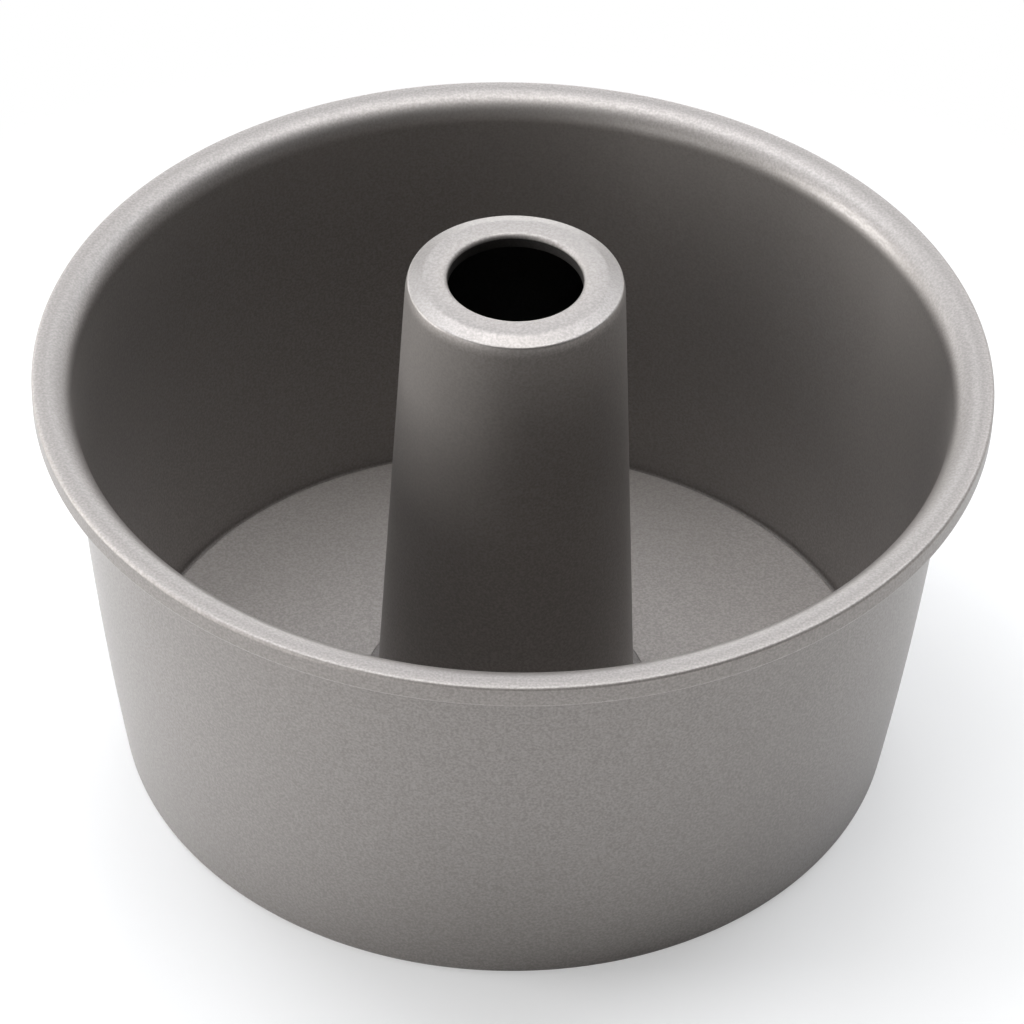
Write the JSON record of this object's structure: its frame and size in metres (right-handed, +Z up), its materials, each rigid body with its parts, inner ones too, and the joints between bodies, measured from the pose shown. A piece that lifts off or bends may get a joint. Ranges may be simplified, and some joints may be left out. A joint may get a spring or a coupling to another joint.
{
  "type": "angel food cake pan",
  "caption": "Tall round tube cake pan with a flat turned-down rim; the base plate and its hollow centre tube lift out of the side wall.",
  "frame": {"origin": "on the pan's axis, at the level of the face that the pan rests on", "axes": "+Z up along the axis of the wall and the tube, out of the mouth; +X and +Y are any two directions across, because the pan is round"},
  "size_m": [0.254, 0.254, 0.1504],
  "materials": {
    "wall_coating": "satin grey metallic non-stick coating, finely speckled",
    "plate_coating": "satin grey metallic non-stick coating, finely speckled",
    "tube_coating": "satin grey metallic non-stick coating, finely speckled"
  },
  "bodies": {
    "outer_pan": {"side_wall": "wall_coating"},
    "tube_insert": {"base_plate": "plate_coating", "centre_tube": "tube_coating"}
  },
  "joints": [
    {"name": "insert_lift", "type": "slide", "parent": "outer_pan", "child": "tube_insert", "axis": [0, 0, 1], "range_m": [0, 0.13]}
  ]
}
